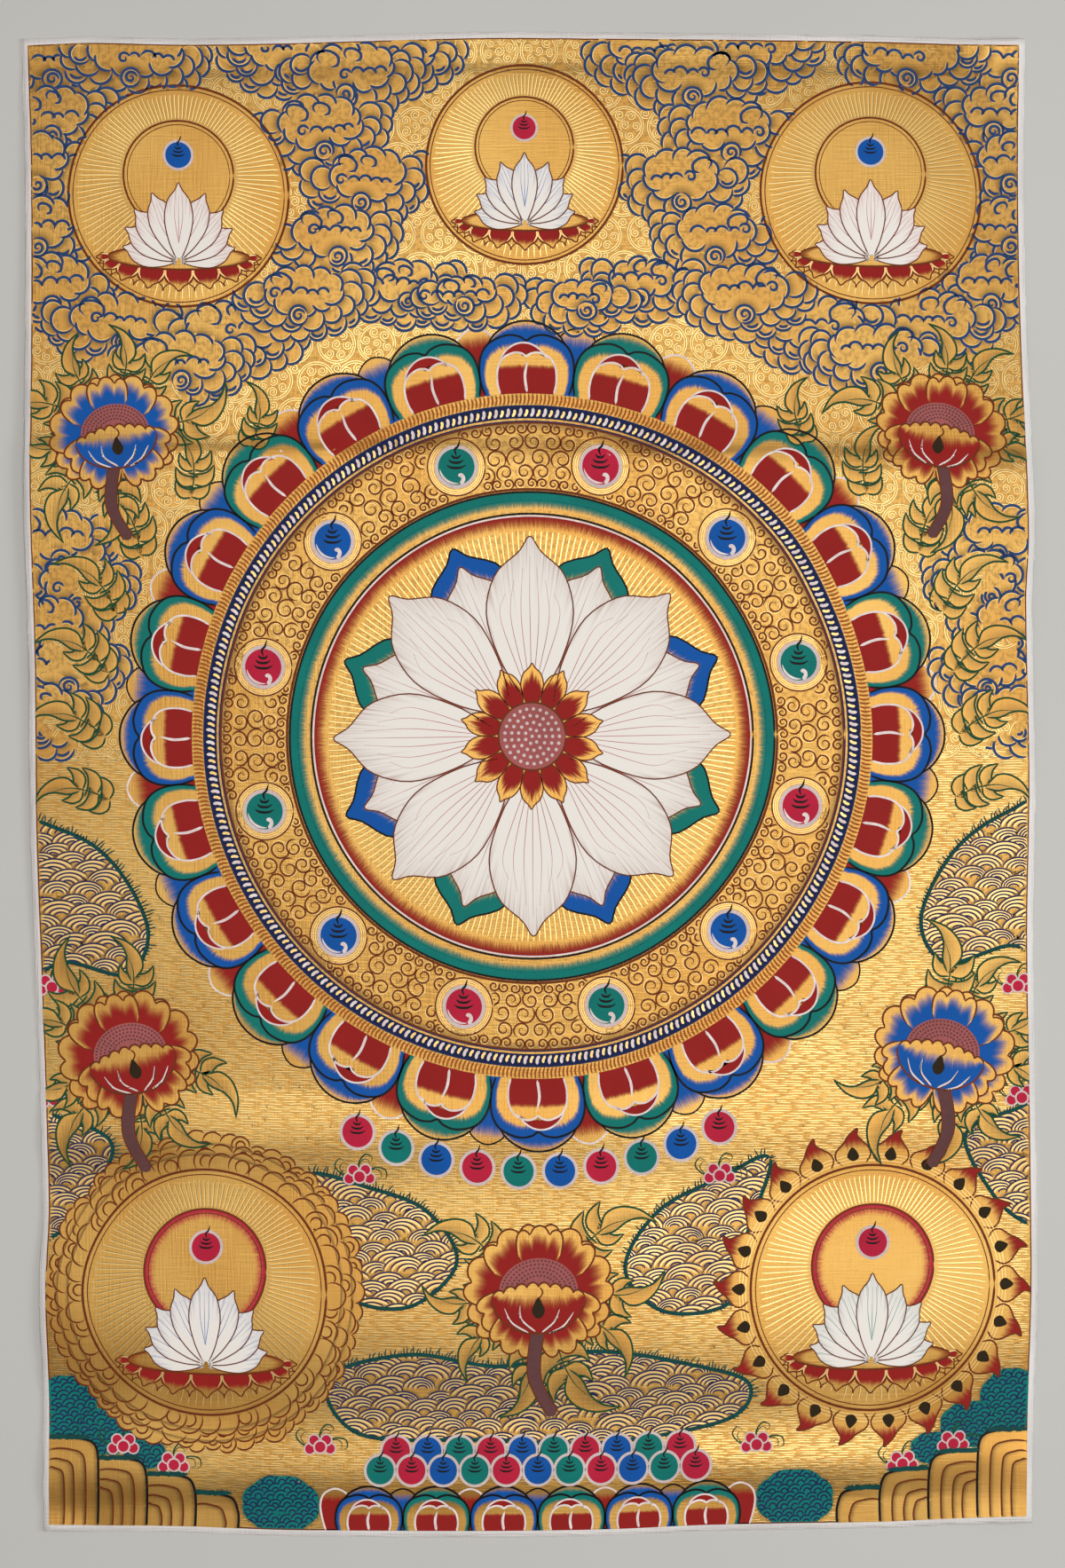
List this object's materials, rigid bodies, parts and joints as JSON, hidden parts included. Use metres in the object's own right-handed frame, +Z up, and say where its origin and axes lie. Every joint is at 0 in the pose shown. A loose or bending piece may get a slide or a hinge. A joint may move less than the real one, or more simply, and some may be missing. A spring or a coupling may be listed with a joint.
{
  "type": "painted thangka canvas lying flat",
  "caption": "Flat sheet of primed cotton canvas with a gold-ground painted face and a narrow bare margin, gently rippled from being rolled.",
  "frame": {"origin": "under the middle of the sheet, on the surface it lies on", "axes": "+Z up out of the painted face, +Y towards the top of the painting, +X across the width to its right side"},
  "size_m": [0.5148, 0.7628, 0.0057],
  "materials": {
    "painted_cotton": "primed cotton with satin gold paint, lines in dark blue, brown and black, and a bare white margin"
  },
  "bodies": {
    "root": {"painted_canvas": "painted_cotton"}
  },
  "joints": []
}
